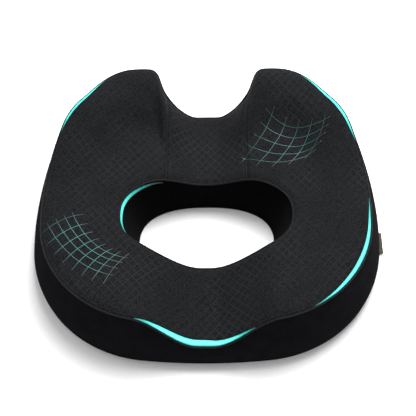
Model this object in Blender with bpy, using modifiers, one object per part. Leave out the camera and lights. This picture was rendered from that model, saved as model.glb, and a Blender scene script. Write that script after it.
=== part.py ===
"""Contoured ring seat cushion: a moulded foam core in a sewn, zipped cover.

Metres, +Z up. The front edge faces -Y; the raised horns with the notch between them
are at the rear, +Y. The origin is on the surface that the cushion rests on, at the
middle of its outline.
"""

import math

import bmesh
import bpy
import numpy as np
from mathutils import Vector

# ------------------------------------------------------------ overall sizes
WIDTH = 0.464
DEPTH = 0.416
RIM_HEIGHT = 0.110  # crest of the raised rim at the rear
EDGE_HEIGHT = 0.082  # crest along the front corners and the sides
SEAT_HEIGHT = 0.075  # seat beside the opening
BRIDGE_HEIGHT = 0.053  # middle of the sunken bridge behind the opening
CHANNEL_HEIGHT = 0.038  # middle of the channel in front of the opening

# ------------------------------------------------------------ outline, seen from above
FRONT_RADIUS = 0.750
CORNER_RADIUS = 0.168
SIDE_RADIUS = 0.480
SHOULDER_RADIUS = 0.130
WIDEST_Y = -0.012
HORN_RADIUS = 0.022
HORN_X = 0.082  # centre of the horn's tip
NOTCH_DEPTH = 0.044
NOTCH_RADIUS = 0.020
NOTCH_FLAT = 0.037  # half of the notch's straight floor
BRIDGE_SEAM_X = 0.054
OUTLINE_STEP = 0.001

# ------------------------------------------------------------ centre opening
OPENING_WIDTH = 0.228
OPENING_DEPTH = 0.126
OPENING_Y = -0.021
OPENING_SQUARENESS = 2.4  # 2 would be an ellipse
OPENING_FOOT_WIDTH = 0.184
OPENING_FOOT_DEPTH = 0.120
OPENING_FLARE = 1.6  # above 1, the wall opens out mostly near its top

# ------------------------------------------------------------ shape of the top
RIM_SPAN = 0.095  # how far in from the seam the rim starts to rise
RIM_CREST = 0.014  # how far in from the seam it is highest
RIM_START_Y = 0.010
RIM_FULL_Y = 0.145
BRIDGE_FLANK_START = (0.005, 0.014)  # at the opening, at the notch
BRIDGE_FLANK_END = 0.077
CHANNEL_FLANK_START = (0.006, 0.010)  # at the opening, at the front seam
CHANNEL_FLANK_END = 0.093
EDGE_ROLL = 0.014  # width of the soft roll beside a seam
EDGE_DROP = 0.004

# ------------------------------------------------------------ side band
FOOT_BAND = 0.022  # the band is widest at this height
FOOT_INSET = 0.004
SIDE_LEAN = 0.22  # how far the top seam sits in, as a share of its height
REAR_LEAN = 0.06
LEAN_START = 0.025  # length past the horn where the lean starts to grow
LEAN_END = 0.120  # length past the horn where it is that of the sides

# ------------------------------------------------------------ cover
CLOTH = 0.0015
FOAM_CLEARANCE = 0.0012
SEAM_GAP = CLOTH + 0.0007  # from a panel's edge to the line of a seam at a corner
FLAT_SEAM_GAP = 0.0013  # the same where two panels meet on one surface
CORD_RADIUS = 0.0008
JOIN_GAP = 0.0003
FILM = 0.0006
WELD = 0.00001

# ------------------------------------------------------------ zip, on the left rear shoulder
ZIP_HEIGHT = 0.0110
ZIP_TAPE = 0.0008
ZIP_TAPE_FOOT = 0.0022
ZIP_TAPE_TOP = 0.0200
COIL_RADIUS = 0.0010
COIL_SPLIT = 0.0018  # free space between the two coils
COIL_INSET = 0.0022  # from the band's widest radius to the coils' middle
COIL_EDGE = 0.0005  # from a coil to its tape
ZIP_END_ANGLE = 2.0  # degrees kept free at each end of the shoulder
STOP_LENGTH = 0.0030
SLIDER_LENGTH = 0.0110
SLIDER_PLATE = 0.0012
SLIDER_CLEARANCE = 0.0004
NECK_LENGTH = 0.0035
CHANNEL_CLEARANCE = 0.0010
PIN_RADIUS = 0.0006
BORE_RADIUS = 0.0010
BARREL_RADIUS = 0.0017
BARREL_HEIGHT = 0.0032
LUG_THICKNESS = 0.0011
TAB_LENGTH = 0.0220
TAB_HEIGHT = 0.0060
TAB_THICKNESS = 0.0012

# ------------------------------------------------------------ tag and trim
TAG_LENGTH = 0.033
TAG_REACH = 0.0055  # how far the tag stands out past the widest point
TAG_THICKNESS = 0.0010
TAG_HEIGHT = 0.0030
TAG_Y = -0.024


def smooth(value, low, high):
    """0 up to low, 1 from high on, and an S curve between them."""
    share = min(1.0, max(0.0, (value - low) / (high - low)))
    return share * share * (3.0 - 2.0 * share)


def mix(first, last, share):
    return first + (last - first) * share


# ============================================================ outlines seen from above


def meet(first, first_reach, second, second_reach):
    """The point at those two distances from two centres, on the +X, -Y side of their line."""
    apart = second - first
    along = (first_reach**2 - second_reach**2 + apart.length_squared) / (2 * apart.length)
    across = math.sqrt(first_reach**2 - along**2)
    unit = apart.normalized()
    return first + unit * along + Vector((unit.y, -unit.x)) * across


def heading(start, end):
    return math.atan2(end.y - start.y, end.x - start.x)


def on_circle(centre, radius, angle):
    return centre + radius * Vector((math.cos(angle), math.sin(angle)))


def outline_circles():
    """Centres of the right half's arcs, by name."""
    side = Vector((WIDTH / 2 - SIDE_RADIUS, WIDEST_Y))
    front = Vector((0.0, FRONT_RADIUS - DEPTH / 2))
    horn = Vector((HORN_X, DEPTH / 2 - HORN_RADIUS))
    notch = Vector((NOTCH_FLAT, DEPTH / 2 - NOTCH_DEPTH + NOTCH_RADIUS))
    shoulder = meet(side, SIDE_RADIUS - SHOULDER_RADIUS, horn, SHOULDER_RADIUS - HORN_RADIUS)
    corner = meet(side, SIDE_RADIUS - CORNER_RADIUS, front, FRONT_RADIUS - CORNER_RADIUS)
    rear = {"notch": notch, "horn": horn, "shoulder": shoulder}
    return rear | {"side": side, "corner": corner, "front": front}


CIRCLES = outline_circles()


def outline_arcs():
    """The right half from the notch round to the front: (name, radius, start angle, end angle)."""
    notch, horn, shoulder, side, corner, front = CIRCLES.values()
    slant = math.acos((NOTCH_RADIUS + HORN_RADIUS) / (horn - notch).length)
    leave = heading(notch, horn) - slant
    return [
        ("notch", NOTCH_RADIUS, -math.pi / 2, leave),
        ("horn", HORN_RADIUS, leave + math.pi, heading(shoulder, horn)),
        ("shoulder", SHOULDER_RADIUS, heading(shoulder, horn), heading(side, shoulder)),
        ("side", SIDE_RADIUS, heading(side, shoulder), heading(side, corner)),
        ("corner", CORNER_RADIUS, heading(side, corner), heading(front, corner)),
        ("front", FRONT_RADIUS, heading(front, corner), -math.pi / 2),
    ]


class Path:
    """A plan line read by its own length. Its outward side is on the left of its run."""

    def __init__(self, corners):
        corners = np.array(corners, float)
        reached = np.concatenate([[0.0], np.cumsum(np.linalg.norm(np.diff(corners, axis=0), axis=1))])
        self.length = float(reached[-1])
        self.lengths = np.linspace(0.0, self.length, 1 + math.ceil(self.length / OUTLINE_STEP))
        self.points = np.stack([np.interp(self.lengths, reached, corners[:, k]) for k in (0, 1)], axis=1)
        slope = np.gradient(self.points, self.lengths, axis=0)
        self.normals = np.stack([-slope[:, 1], slope[:, 0]], axis=1)

    def read(self, table, length):
        return Vector([float(np.interp(length, self.lengths, table[:, k])) for k in (0, 1)])

    def point(self, length):
        return self.read(self.points, length)

    def normal(self, length):
        return self.read(self.normals, length).normalized()

    def length_at_x(self, x):
        """Length to the first point that is x to the right of the centre plane."""
        past = max(1, int(np.argmax(self.points[:, 0] >= x)))
        return float(np.interp(x, self.points[past - 1 : past + 1, 0], self.lengths[past - 1 : past + 1]))


def outer_path():
    """The right half of the outline, and the length at which each arc ends."""
    points = [Vector((0.0, DEPTH / 2 - NOTCH_DEPTH))]
    length, ends = 0.0, {}
    for name, radius, start, end in outline_arcs():
        count = math.ceil(radius * abs(end - start) / OUTLINE_STEP)
        for i in range(count + 1):
            points.append(on_circle(CIRCLES[name], radius, mix(start, end, i / count)))
            length += (points[-1] - points[-2]).length
        ends[name] = length
    return Path(points), ends


def opening_path(width, depth):
    """The right half of the opening's outline, from its rear round to its front."""
    power = 2 / OPENING_SQUARENESS
    points = []
    for angle in np.linspace(math.pi / 2, -math.pi / 2, 181):
        x = width / 2 * abs(math.cos(angle)) ** power
        y = depth / 2 * math.copysign(abs(math.sin(angle)) ** power, math.sin(angle))
        points.append((x, OPENING_Y + y))
    return Path(points)


OUTER, ARC_ENDS = outer_path()
RIM = opening_path(OPENING_WIDTH, OPENING_DEPTH)
RIM_FOOT = opening_path(OPENING_FOOT_WIDTH, OPENING_FOOT_DEPTH)
HALF = OUTER.length


# ============================================================ surface of the cushion


def rim_height(y):
    return mix(EDGE_HEIGHT, RIM_HEIGHT, smooth(y, RIM_START_Y, RIM_FULL_Y))


def top_height(place, inside, beside):
    """Height of the top at a plan place, inside from the outer seam and beside from the opening's rim."""
    x, y = abs(place.x), place.y
    outward = 1 - smooth(inside, RIM_CREST, RIM_SPAN)
    land = mix(SEAT_HEIGHT, rim_height(y), outward)
    reached = beside / max(inside + beside, WELD)
    if y > OPENING_Y:
        floor = BRIDGE_HEIGHT
        flank = smooth(x, mix(*BRIDGE_FLANK_START, reached), BRIDGE_FLANK_END)
    else:
        floor = CHANNEL_HEIGHT
        flank = smooth(x, mix(*CHANNEL_FLANK_START, reached), CHANNEL_FLANK_END)
    roll = max(0.0, 1 - inside / EDGE_ROLL) ** 2 + max(0.0, 1 - beside / EDGE_ROLL) ** 2
    return mix(floor, land, flank) - EDGE_DROP * roll


def seam_place(length):
    """The outer top seam at that length of the outline, as a point in space."""
    place, normal = OUTER.point(length), OUTER.normal(length)
    lean = mix(REAR_LEAN, SIDE_LEAN, smooth(length - ARC_ENDS["horn"], LEAN_START, LEAN_END))
    height = EDGE_HEIGHT
    for _ in range(5):
        seam = place - normal * lean * height
        height = top_height(seam, 0.0, RIM_SPAN)
    return Vector((seam.x, seam.y, height))


def station_at_seam_x(x):
    """The station, short of the horn, where the outer seam is x to the right of the centre plane."""
    lengths = np.arange(0.0, ARC_ENDS["horn"], OUTLINE_STEP)
    reached = [seam_place(length).x for length in lengths]
    past = int(np.argmax(np.array(reached) >= x))
    return float(np.interp(x, reached[past - 1 : past + 1], lengths[past - 1 : past + 1]))


BRIDGE_END = station_at_seam_x(BRIDGE_SEAM_X)


class Column:
    """One cut through the ring. Stations run clockwise from the notch's middle, and HALF is at the front.

    A gap above 0 keeps the top and the underside that far from the lines of their seams.
    """

    def __init__(self, station, gap=0.0):
        station %= 2 * HALF
        self.side_of = 1 if station <= HALF else -1
        length = min(station, 2 * HALF - station)
        self.gap = gap
        self.outer, self.normal = OUTER.point(length), OUTER.normal(length)
        self.seam = seam_place(length)
        if length <= BRIDGE_END:
            rim_at, foot_at = RIM.length_at_x(self.seam.x), RIM_FOOT.length_at_x(self.seam.x)
        else:
            share = (length - BRIDGE_END) / (HALF - BRIDGE_END)
            rim_at = mix(RIM.length_at_x(BRIDGE_SEAM_X), RIM.length, share)
            foot_at = mix(RIM_FOOT.length_at_x(BRIDGE_SEAM_X), RIM_FOOT.length, share)
        self.rim, self.rim_foot = RIM.point(rim_at), RIM_FOOT.point(foot_at)
        self.top_start, self.top_end = self.rim + RIM.normal(rim_at) * gap, self.seam.xy - self.normal * gap
        if length < BRIDGE_END + SEAM_GAP:
            run = (self.rim - self.seam.xy).normalized()
            self.top_start = self.rim - run * gap / RIM.normal(rim_at).y
            self.top_end = self.seam.xy + run * gap / self.normal.y
        self.base_start = self.outer - self.normal * (FOOT_INSET + gap)
        self.base_end = self.rim_foot + RIM_FOOT.normal(foot_at) * gap
        self.rim_z = top_height(self.rim, (self.seam.xy - self.rim).length, 0.0)

    def placed(self, plan, height):
        return Vector((self.side_of * plan.x, plan.y, height))

    def top(self, share):
        """Across the top, from 0 at the opening's rim to 1 at the outer seam."""
        span = (self.top_end - self.top_start).length
        plan = mix(self.top_start, self.top_end, share)
        return self.placed(plan, top_height(plan, (1 - share) * span + self.gap, share * span + self.gap))

    def side(self, height):
        """Down the side band at a height, no higher than the seam."""
        lean = (self.outer - self.seam.xy).length
        if height > FOOT_BAND:
            inset = lean * ((height - FOOT_BAND) / (self.seam.z - FOOT_BAND)) ** 1.5
        else:
            inset = FOOT_INSET * (1 - height / FOOT_BAND) ** 2
        return self.placed(self.outer - self.normal * inset, height)

    def wall(self, share):
        """Up the opening's wall, from 0 at its foot to 1 at its rim."""
        share = mix(self.gap / self.rim_z, 1 - self.gap / self.rim_z, share)
        return self.placed(mix(self.rim_foot, self.rim, share**OPENING_FLARE), share * self.rim_z)

    def base(self, share):
        """Across the underside, from 0 at the outer foot to 1 at the opening."""
        return self.placed(mix(self.base_start, self.base_end, share), 0.0)


def master_stations():
    """Stations of the right half: closer together where the outline turns more."""
    marks = [0.0, BRIDGE_END] + [ARC_ENDS[name] for name in ("horn", "shoulder", "side", "corner", "front")]
    counts = (5, 7, 8, 4, 8, 8)
    stations = [mix(a, b, i / n) for a, b, n in zip(marks, marks[1:], counts) for i in range(n)]
    return stations + [HALF]


RIGHT_STATIONS = master_stations()
ALL_STATIONS = RIGHT_STATIONS + [2 * HALF - s for s in reversed(RIGHT_STATIONS[:-1])]


def stations_between(start, end):
    """Start, every master station between, and end. They may run past the notch's middle."""
    known = sorted({s + turn for s in ALL_STATIONS for turn in (-2 * HALF, 0.0)})
    return [start] + [s for s in known if start + SEAM_GAP < s < end - SEAM_GAP] + [end]


TOP_SHARES = (0.0, 0.05, 0.13, 0.26, 0.42, 0.58, 0.72, 0.83, 0.91, 0.96, 1.0)
SIDE_SHARES = (0.0, 0.12, 0.35, 0.65, 1.0)  # from the seam down to the foot band
FOOT_SHARES = (0.45, 1.0)  # from the foot band down to the ground
WALL_SHARES = (0.0, 0.3, 0.6, 0.85, 1.0)


def side_heights(column, below_seam, lowest):
    """Heights down the side band from just below the seam to the lowest one, as many at every column."""
    band = [mix(column.seam.z - below_seam, FOOT_BAND, share) for share in SIDE_SHARES]
    return band + [mix(FOOT_BAND, lowest, share) for share in FOOT_SHARES]


# ============================================================ making objects


def material(name, colour, roughness, metallic=0.0):
    made = bpy.data.materials.new(name)
    made.use_nodes = True
    shader = made.node_tree.nodes["Principled BSDF"]
    shader.inputs["Base Color"].default_value = (*colour, 1.0)
    shader.inputs["Roughness"].default_value = roughness
    shader.inputs["Metallic"].default_value = metallic
    made.diffuse_color = (*colour, 1.0)
    return made


def add(name, data, finish=None):
    """A piece of the cushion. Without a finish it is only a tool that cuts or joins."""
    thing = bpy.data.objects.new(name, data)
    bpy.data.collections["seat_cushion" if finish else "cutters"].objects.link(thing)
    if finish:
        data.materials.append(finish)
    return thing


def sheet_mesh(columns, rows, place):
    """An open grid with one point for each pair of column and row, welded where its edges meet."""
    bm = bmesh.new()
    across, along = len(columns) - 1, len(rows) - 1
    tags = [bm.verts.layers.int.new(key) for key in ("column", "row")]
    bmesh.ops.create_grid(bm, x_segments=across, y_segments=along, size=1.0)
    for vert in bm.verts:
        i, j = round((vert.co.x + 1) / 2 * across), round((vert.co.y + 1) / 2 * along)
        vert[tags[0]], vert[tags[1]] = i, j
        vert.co = place(columns[i], rows[j])
    bmesh.ops.remove_doubles(bm, verts=bm.verts, dist=WELD)
    bm.normal_update()
    return bm


def finish_mesh(name, bm):
    mesh = bpy.data.meshes.new(name)
    bm.to_mesh(mesh)
    bm.free()
    mesh.shade_smooth()
    mesh.set_sharp_from_angle(angle=math.radians(50))
    return mesh


def panel(name, columns, rows, place, finish, thickness=CLOTH, outward=False, lift=0.0):
    """A piece of cloth: an open sheet on the skin, given its thickness inwards or outwards."""
    bm = sheet_mesh(columns, rows, place)
    for vert in bm.verts:
        vert.co += vert.normal * lift
    cloth = add(name, finish_mesh(name, bm), finish)
    solid = cloth.modifiers.new("Thickness", "SOLIDIFY")
    solid.thickness = thickness
    solid.offset = 1.0 if outward else -1.0
    solid.use_even_offset = True
    return cloth


def ring_mesh(depth):
    """The whole skin as one closed ring, moved in by a depth, with each point's column and row."""
    columns = [Column(station) for station in ALL_STATIONS]
    wall = [("wall", share) for share in WALL_SHARES]
    top = [("top", share) for share in TOP_SHARES[1:]]
    side = [("side", k) for k in range(1, len(SIDE_SHARES) + len(FOOT_SHARES))]
    rows = wall + top + side + [("base", 0.5), ("wall", 0.0)]

    def place(column, row):
        kind, value = row
        if kind == "side":
            return column.side(side_heights(column, 0.0, 0.0)[value])
        return getattr(column, kind)(value)

    bm = sheet_mesh(columns, rows, place)
    moves = [vert.normal * depth * vert.calc_shell_factor() for vert in bm.verts]
    for vert, move in zip(bm.verts, moves):
        vert.co -= move
    return bm


RIM_ROW = len(WALL_SHARES) - 1
SEAM_ROW = RIM_ROW + len(TOP_SHARES) - 1
FOOT_ROW = SEAM_ROW + len(SIDE_SHARES) + len(FOOT_SHARES) - 1
CORD_DEPTH = CORD_RADIUS + 0.0001


def cord(name, points, finish, cyclic):
    """A thin round cord through the points."""
    curve = bpy.data.curves.new(name, "CURVE")
    curve.dimensions = "3D"
    curve.bevel_depth = CORD_RADIUS
    curve.bevel_resolution = 0
    curve.use_fill_caps = not cyclic
    spline = curve.splines.new("POLY")
    spline.points.add(len(points) - 1)
    for knot, point in zip(spline.points, points):
        knot.co = (*point, 1.0)
    spline.use_cyclic_u = cyclic
    return add(name, curve, finish)


def seam_cords(finish):
    """The sewn welts in the corners of the cover and along both sides of the bridge."""
    bm = ring_mesh(CORD_DEPTH)
    keys = [bm.verts.layers.int[key] for key in ("column", "row")]
    count = len(ALL_STATIONS) - 1
    spots = {(vert[keys[0]] % count, vert[keys[1]]): vert.co.copy() for vert in bm.verts}
    bm.free()
    for name, row in (("outer_welt", SEAM_ROW), ("opening_welt", RIM_ROW), ("foot_seam", FOOT_ROW)):
        cord(name, [spots[i, row] for i in range(count)], finish, cyclic=True)
    for name, station in (("bridge_seam_right", BRIDGE_END), ("bridge_seam_left", 2 * HALF - BRIDGE_END)):
        column = Column(station, 1.5 * SEAM_GAP)
        line = [column.top(share) - Vector((0, 0, CORD_DEPTH)) for share in TOP_SHARES]
        cord(name, line, finish, cyclic=False)


def block(name, low, high, finish=None):
    """A box between two corners, from a cube."""
    bm = bmesh.new()
    bmesh.ops.create_cube(bm, size=1.0)
    low, high = Vector(low), Vector(high)
    bmesh.ops.scale(bm, vec=high - low, verts=bm.verts)
    bmesh.ops.translate(bm, vec=(low + high) / 2, verts=bm.verts)
    mesh = bpy.data.meshes.new(name)
    bm.to_mesh(mesh)
    bm.free()
    return add(name, mesh, finish)


def round_bar(name, radius, height, place, finish=None, sides=16):
    """An upright cylinder about a place."""
    bm = bmesh.new()
    bmesh.ops.create_cone(bm, cap_ends=True, segments=sides, radius1=radius, radius2=radius, depth=height)
    bmesh.ops.translate(bm, vec=place, verts=bm.verts)
    return add(name, finish_mesh(name, bm), finish)


def combine(target, tool, operation):
    """Join a tool to the target, or cut it away. The tool itself is hidden."""
    tool.hide_render = True
    tool.display_type = "WIRE"
    step = target.modifiers.new(tool.name, "BOOLEAN")
    step.object = tool
    step.operation = operation
    step.solver = "EXACT"


# ============================================================ the cushion's pieces


def foam_core(finish):
    bm = ring_mesh(CLOTH + FOAM_CLEARANCE)
    return add("foam_core", finish_mesh("foam_core", bm), finish)


def top_panels(quilted):
    past = station_at_seam_x(BRIDGE_SEAM_X + FLAT_SEAM_GAP)
    lobes = [Column(s, SEAM_GAP) for s in stations_between(past, 2 * HALF - past)]
    panel("top_panel", lobes, TOP_SHARES, Column.top, quilted)
    before = station_at_seam_x(BRIDGE_SEAM_X - FLAT_SEAM_GAP)
    bridge = [Column(s, SEAM_GAP) for s in stations_between(-before, before)]
    panel("bridge_panel", bridge, TOP_SHARES, Column.top, quilted)


def side_panel(name, start, end, lowest, finish):
    """A stretch of the side band between two stations, down to its lowest height."""

    def place(column, row):
        return column.side(side_heights(column, SEAM_GAP, lowest)[row])

    columns = [Column(s) for s in stations_between(start + JOIN_GAP, end - JOIN_GAP)]
    panel(name, columns, range(len(SIDE_SHARES) + len(FOOT_SHARES)), place, finish)


def side_band(plain):
    horn, shoulder = ARC_ENDS["horn"], ARC_ENDS["shoulder"]
    side_panel("front_gusset", shoulder, 2 * HALF - shoulder, SEAM_GAP, plain)
    side_panel("shoulder_gusset_right", horn, shoulder, SEAM_GAP, plain)
    side_panel("shoulder_gusset_left", 2 * HALF - shoulder, 2 * HALF - horn, ZIP_TAPE_TOP + JOIN_GAP, plain)
    side_panel("notch_gusset", -horn, horn, SEAM_GAP, plain)


def opening_wall(dark):
    """The wall of the opening, closed by an upright seam at its rear."""
    columns = [Column(s, SEAM_GAP) for s in stations_between(JOIN_GAP, 2 * HALF - JOIN_GAP)]
    panel("opening_wall", columns, WALL_SHARES, Column.wall, dark)


def bottom_panel(grip):
    columns = [Column(s, SEAM_GAP) for s in ALL_STATIONS]
    panel("bottom_panel", columns, (0.0, 0.5, 1.0), Column.base, grip)


# ============================================================ the zip

ZIP_CENTRE = Vector((-CIRCLES["shoulder"].x, CIRCLES["shoulder"].y))
ZIP_FIRST = math.pi - outline_arcs()[2][3] - math.radians(ZIP_END_ANGLE)  # at the side
ZIP_LAST = math.pi - outline_arcs()[2][2] + math.radians(ZIP_END_ANGLE)  # at the horn
COIL_LINE = SHOULDER_RADIUS - COIL_INSET
STOP_ANGLE = (STOP_LENGTH / 2) / COIL_LINE
SLIDER_ANGLE = (SLIDER_LENGTH / 2 + STOP_LENGTH + JOIN_GAP) / COIL_LINE
TAPE_EDGE = COIL_SPLIT / 2 + 2 * COIL_RADIUS + COIL_EDGE  # from the zip's line to each tape
METAL_EDGE = TAPE_EDGE - JOIN_GAP  # from the zip's line to the slider's and the stops' edges


def zip_angles(margin, count=26):
    """Angles along the zip, from its side end to its horn end, less a margin at both."""
    return [mix(ZIP_FIRST - margin, ZIP_LAST + margin, i / count) for i in range(count + 1)]


def zip_tape(name, low, high, finish):
    """A cloth tape on the foot of the side band, which has one cross-section along the shoulder."""

    def place(angle, height):
        inset = FOOT_INSET * (1 - height / FOOT_BAND) ** 2
        spot = on_circle(ZIP_CENTRE, SHOULDER_RADIUS - inset, angle)
        return Vector((spot.x, spot.y, height))

    panel(name, zip_angles(0.0), (high, (low + high) / 2, low), place, finish, ZIP_TAPE)


def zip_coil(name, height, finish):
    curve = bpy.data.curves.new(name, "CURVE")
    curve.dimensions = "3D"
    curve.bevel_depth = COIL_RADIUS
    curve.bevel_resolution = 1
    curve.use_fill_caps = True
    spots = [on_circle(ZIP_CENTRE, COIL_LINE, a) for a in zip_angles(2 * STOP_ANGLE + JOIN_GAP / COIL_LINE)]
    spline = curve.splines.new("POLY")
    spline.points.add(len(spots) - 1)
    for knot, spot in zip(spline.points, spots):
        knot.co = (spot.x, spot.y, height, 1.0)
    return add(name, curve, finish)


def on_zip(thing, angle):
    """Put a piece on the zip's line: its own +X then points away from the arc's centre."""
    spot = on_circle(ZIP_CENTRE, COIL_LINE, angle)
    thing.location = (spot.x, spot.y, ZIP_HEIGHT)
    thing.rotation_euler = (0.0, 0.0, angle)


def slider_body(metal):
    """Two plates round the coils, held together by a neck that runs between them, and the tab's lugs."""
    inner = COIL_RADIUS + SLIDER_CLEARANCE
    outer = inner + SLIDER_PLATE
    half_y, half_z = SLIDER_LENGTH / 2, METAL_EDGE
    neck_z = COIL_SPLIT / 2 - SLIDER_CLEARANCE
    slider = block("zip_slider", (inner, -half_y, -half_z), (outer, half_y, half_z), metal)
    back = block("slider_back", (-outer, -half_y, -half_z), (-inner, half_y, half_z))
    overlap = SLIDER_PLATE / 2
    reach = inner + overlap
    neck = block("slider_neck", (-reach, half_y - NECK_LENGTH, -neck_z), (reach, half_y, neck_z))
    pin_x = outer + BARREL_RADIUS + SLIDER_CLEARANCE
    lug_low = BARREL_HEIGHT / 2 + JOIN_GAP
    tools = [neck, back]
    for label, sign in (("top", 1), ("bottom", -1)):
        levels = sorted((sign * lug_low, sign * (lug_low + LUG_THICKNESS)))
        low = (outer - overlap, -BARREL_RADIUS, levels[0])
        high = (pin_x + BARREL_RADIUS, BARREL_RADIUS, levels[1])
        tools.append(block(f"slider_lug_{label}", low, high))
    tools.append(round_bar("slider_pin", PIN_RADIUS, 2 * lug_low + LUG_THICKNESS, (pin_x, 0, 0)))
    for tool in tools:
        tool.parent = slider
        combine(slider, tool, "UNION")
    return slider, pin_x


def pull_tab(metal):
    """A flat tab with a barrel that turns on the slider's upright pin, which is at its origin."""
    tab = round_bar("zip_pull_tab", BARREL_RADIUS, BARREL_HEIGHT, (0, 0, 0), metal)
    half_x, half_neck, half_blade = TAB_THICKNESS / 2, BARREL_HEIGHT / 2, TAB_HEIGHT / 2
    blade_start = -SLIDER_LENGTH / 2 - JOIN_GAP
    neck = block("tab_neck", (-half_x, blade_start - BARREL_RADIUS, -half_neck), (half_x, 0, half_neck))
    blade = block("tab_blade", (-half_x, -TAB_LENGTH, -half_blade), (half_x, blade_start, half_blade))
    bore = round_bar("tab_bore", BORE_RADIUS, 2 * BARREL_HEIGHT, (0, 0, 0))
    for tool, operation in ((neck, "UNION"), (blade, "UNION"), (bore, "DIFFERENCE")):
        tool.parent = tab
        combine(tab, tool, operation)
    return tab


def zip_channel(foam):
    """The groove in the foam that the slider's back runs in."""
    margin = CHANNEL_CLEARANCE
    depth = COIL_LINE - COIL_RADIUS - SLIDER_CLEARANCE - SLIDER_PLATE - margin
    mouth = SHOULDER_RADIUS + margin
    low = ZIP_HEIGHT - METAL_EDGE - margin
    high = ZIP_HEIGHT + METAL_EDGE + margin
    corners = [(depth, low), (mouth, low), (mouth, high), (depth, high)]

    def place(angle, k):
        radius, height = corners[k % 4]
        spot = on_circle(ZIP_CENTRE, radius, angle)
        return Vector((spot.x, spot.y, height))

    bm = sheet_mesh(zip_angles(0.0), range(5), place)
    bmesh.ops.holes_fill(bm, edges=bm.edges)
    bmesh.ops.recalc_face_normals(bm, faces=bm.faces)
    mesh = bpy.data.meshes.new("zip_channel")
    bm.to_mesh(mesh)
    bm.free()
    combine(foam, add("zip_channel", mesh), "DIFFERENCE")


def zip_fastener(tape, nylon, metal):
    coil_step = COIL_SPLIT / 2 + COIL_RADIUS
    zip_tape("zip_tape_lower", ZIP_TAPE_FOOT, ZIP_HEIGHT - TAPE_EDGE, tape)
    zip_tape("zip_tape_upper", ZIP_HEIGHT + TAPE_EDGE, ZIP_TAPE_TOP, tape)
    zip_coil("zip_coil_lower", ZIP_HEIGHT - coil_step, nylon)
    zip_coil("zip_coil_upper", ZIP_HEIGHT + coil_step, nylon)
    half_stop = Vector((COIL_RADIUS, STOP_LENGTH / 2, METAL_EDGE))
    on_zip(block("zip_stop_side", -half_stop, half_stop, metal), ZIP_FIRST - STOP_ANGLE)
    on_zip(block("zip_stop_horn", -half_stop, half_stop, metal), ZIP_LAST + STOP_ANGLE)
    turn = bpy.data.objects.new("zip_path_centre", None)
    bpy.data.collections["seat_cushion"].objects.link(turn)
    turn.location = (ZIP_CENTRE.x, ZIP_CENTRE.y, ZIP_HEIGHT)
    turn.rotation_euler = (0.0, 0.0, ZIP_FIRST - SLIDER_ANGLE)
    slider, pin_x = slider_body(metal)
    slider.parent = turn
    slider.location = (COIL_LINE, 0.0, 0.0)
    tab = pull_tab(metal)
    tab.parent = slider
    tab.location = (pin_x, 0.0, 0.0)


# ============================================================ tag and accents


def side_tag(finish):
    """A folded tag sewn in at the foot of the right side."""
    inset = FOOT_INSET * (1 - TAG_HEIGHT / FOOT_BAND) ** 2
    drop = SIDE_RADIUS - math.sqrt(SIDE_RADIUS**2 - (TAG_Y + TAG_LENGTH / 2 - WIDEST_Y) ** 2)
    low = (WIDTH / 2 - inset + JOIN_GAP, TAG_Y - TAG_LENGTH / 2, TAG_HEIGHT - TAG_THICKNESS / 2)
    high = (WIDTH / 2 + TAG_REACH - drop, TAG_Y + TAG_LENGTH / 2, TAG_HEIGHT + TAG_THICKNESS / 2)
    return block("side_tag", low, high, finish)


def nearest_station(station):
    return min(ALL_STATIONS, key=lambda known: abs(known - station))


def accent(name, start, end, finish):
    """A strip of coloured film pressed on the top beside the outer seam, between two stations."""
    columns = [Column(s, SEAM_GAP) for s in stations_between(nearest_station(start), nearest_station(end))]
    panel(name, columns, TOP_SHARES[-3:-1], Column.top, finish, FILM, outward=True, lift=JOIN_GAP)


def accents(film):
    horn, shoulder, side, corner = (ARC_ENDS[name] for name in ("horn", "shoulder", "side", "corner"))
    rear_end = mix(horn, shoulder, 0.6)
    accent("accent_front", mix(corner, HALF, 0.5), 2 * HALF - corner, film)
    accent("accent_right", side, mix(side, corner, 0.6), film)
    accent("accent_rear_right", horn, rear_end, film)
    accent("accent_rear_left", 2 * HALF - rear_end, 2 * HALF - horn, film)


def build():
    for thing in list(bpy.data.objects):
        bpy.data.objects.remove(thing, do_unlink=True)
    for name in ("seat_cushion", "cutters"):
        bpy.context.scene.collection.children.link(bpy.data.collections.new(name))
    knit = material("jacquard_knit", (0.024, 0.025, 0.027), 0.85)
    plain = material("plain_knit", (0.008, 0.008, 0.009), 0.90)
    grip = material("grip_cloth", (0.010, 0.010, 0.011), 0.80)
    piping = material("piping", (0.030, 0.031, 0.033), 0.75)
    foam = foam_core(material("memory_foam", (0.75, 0.72, 0.62), 0.95))
    top_panels(knit)
    side_band(plain)
    opening_wall(plain)
    bottom_panel(grip)
    seam_cords(piping)
    zip_channel(foam)
    tape = material("zip_tape", (0.010, 0.010, 0.011), 0.85)
    nylon = material("zip_nylon", (0.012, 0.012, 0.013), 0.45)
    zip_fastener(tape, nylon, material("zip_metal", (0.05, 0.05, 0.055), 0.35, 1.0))
    side_tag(material("tag_weave", (0.015, 0.014, 0.014), 0.80))
    accents(material("teal_film", (0.02, 0.55, 0.50), 0.40))


build()
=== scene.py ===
"""Looks of the contoured ring seat cushion: knit cover, piping, zip, woven tag and teal trim.

Metres, +Z up, the front edge faces -Y and the raised horns are at the rear, +Y.
A station is a length along the outline, clockwise from the middle of the rear notch.
"""

import math

import bmesh
import bpy
import numpy as np
from mathutils import Matrix, Vector
from mathutils.kdtree import KDTree


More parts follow.
